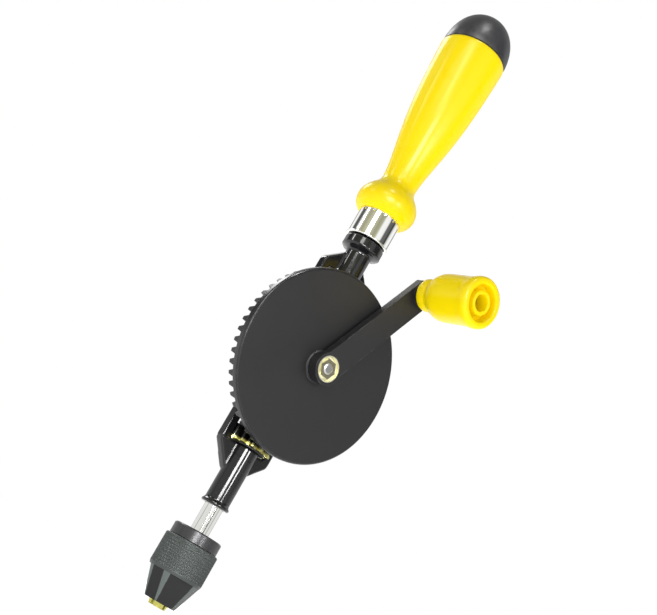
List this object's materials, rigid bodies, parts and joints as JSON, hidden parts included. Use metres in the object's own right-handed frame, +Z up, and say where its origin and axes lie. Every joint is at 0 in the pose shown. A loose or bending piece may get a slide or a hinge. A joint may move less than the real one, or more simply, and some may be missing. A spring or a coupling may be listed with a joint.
{
  "type": "hand drill",
  "caption": "Two-pinion hand drill: cranked face gear drives a spindle and three-jaw chuck, with a waisted grip, end cap and side knob.",
  "frame": {"origin": "on the spindle axis at the tips of the chuck jaws, as drawn holding a 3.5 mm shank", "axes": "+Z up the spindle to the handle, -Y out of the crank side of the wheel, +X to the right seen from the crank side"},
  "size_m": [0.088, 0.0771, 0.3228],
  "materials": {
    "black_enamel": "gloss black stove enamel on cast iron",
    "black_satin": "satin black paint on steel",
    "black_oxide": "black oxide on turned and knurled steel",
    "bright_chrome": "bright nickel and chrome plate",
    "steel": "bare or zinc-plated turned steel",
    "yellow_zinc": "yellow passivated zinc plate",
    "jaw_steel": "hardened steel with a straw tint",
    "yellow_plastic": "glossy moulded yellow plastic",
    "black_plastic": "glossy moulded black plastic"
  },
  "bodies": {
    "frame": {"frame": "black_enamel", "tang": "steel", "ferrule": "bright_chrome", "grip": "yellow_plastic", "end_cap": "black_plastic", "axle_stud": "steel", "back_nut": "steel", "hub_washer": "steel", "cup_washer": "bright_chrome", "front_nut": "bright_chrome", "idler_shaft": "steel", "idler_clip": "steel", "pinion_washers": "black_oxide"},
    "crank_wheel": {"drive_wheel": "black_satin", "crank_arm": "black_satin", "knob_pin": "black_oxide"},
    "knob": {"knob": "yellow_plastic"},
    "idler": {"idler_pinion": "black_oxide"},
    "spindle": {"spindle": "bright_chrome", "spindle_pinion": "yellow_zinc", "pinion_pin": "steel", "chuck_body": "black_oxide", "chuck_rear_ring": "black_oxide"},
    "sleeve": {"chuck_sleeve": "black_oxide", "chuck_nut": "steel"},
    "jaw_1": {"jaw_1": "jaw_steel"},
    "jaw_2": {"jaw_2": "jaw_steel"},
    "jaw_3": {"jaw_3": "jaw_steel"}
  },
  "joints": [
    {"name": "wheel_turn", "type": "hinge", "parent": "frame", "child": "crank_wheel", "pos_m": [0, 0, 0.122], "axis": [0, 1, 0], "continuous": true},
    {"name": "knob_turn", "type": "hinge", "parent": "crank_wheel", "child": "knob", "pos_m": [0.02744, -0.04, 0.17927], "axis": [0, 1, 0], "continuous": true},
    {"name": "spindle_turn", "type": "hinge", "parent": "frame", "child": "spindle", "pos_m": [0, 0, 0.06], "axis": [0, 0, 1], "continuous": true},
    {"name": "idler_turn", "type": "hinge", "parent": "frame", "child": "idler", "pos_m": [0, 0, 0.16], "axis": [0, 0, 1], "continuous": true},
    {"name": "sleeve_turn", "type": "hinge", "parent": "spindle", "child": "sleeve", "pos_m": [0, 0, 0.02], "axis": [0, 0, 1], "range_deg": [-585, 432]},
    {"name": "jaw_1_slide", "type": "slide", "parent": "spindle", "child": "jaw_1", "axis": [-0.2756, 0, -0.9613], "range_m": [-0.0049, 0.00361]},
    {"name": "jaw_2_slide", "type": "slide", "parent": "spindle", "child": "jaw_2", "axis": [0.1378, -0.2387, -0.9613], "range_m": [-0.0049, 0.00361]},
    {"name": "jaw_3_slide", "type": "slide", "parent": "spindle", "child": "jaw_3", "axis": [0.1378, 0.2387, -0.9613], "range_m": [-0.0049, 0.00361]}
  ],
  "couplings": [
    {"joint": "spindle_turn", "follows": "wheel_turn", "ratio": -4.6667},
    {"joint": "idler_turn", "follows": "wheel_turn", "ratio": 4.6667},
    {"joint": "jaw_1_slide", "follows": "sleeve_turn", "m_per_rad": 0.00047746},
    {"joint": "jaw_2_slide", "follows": "sleeve_turn", "m_per_rad": 0.00047746},
    {"joint": "jaw_3_slide", "follows": "sleeve_turn", "m_per_rad": 0.00047746}
  ]
}
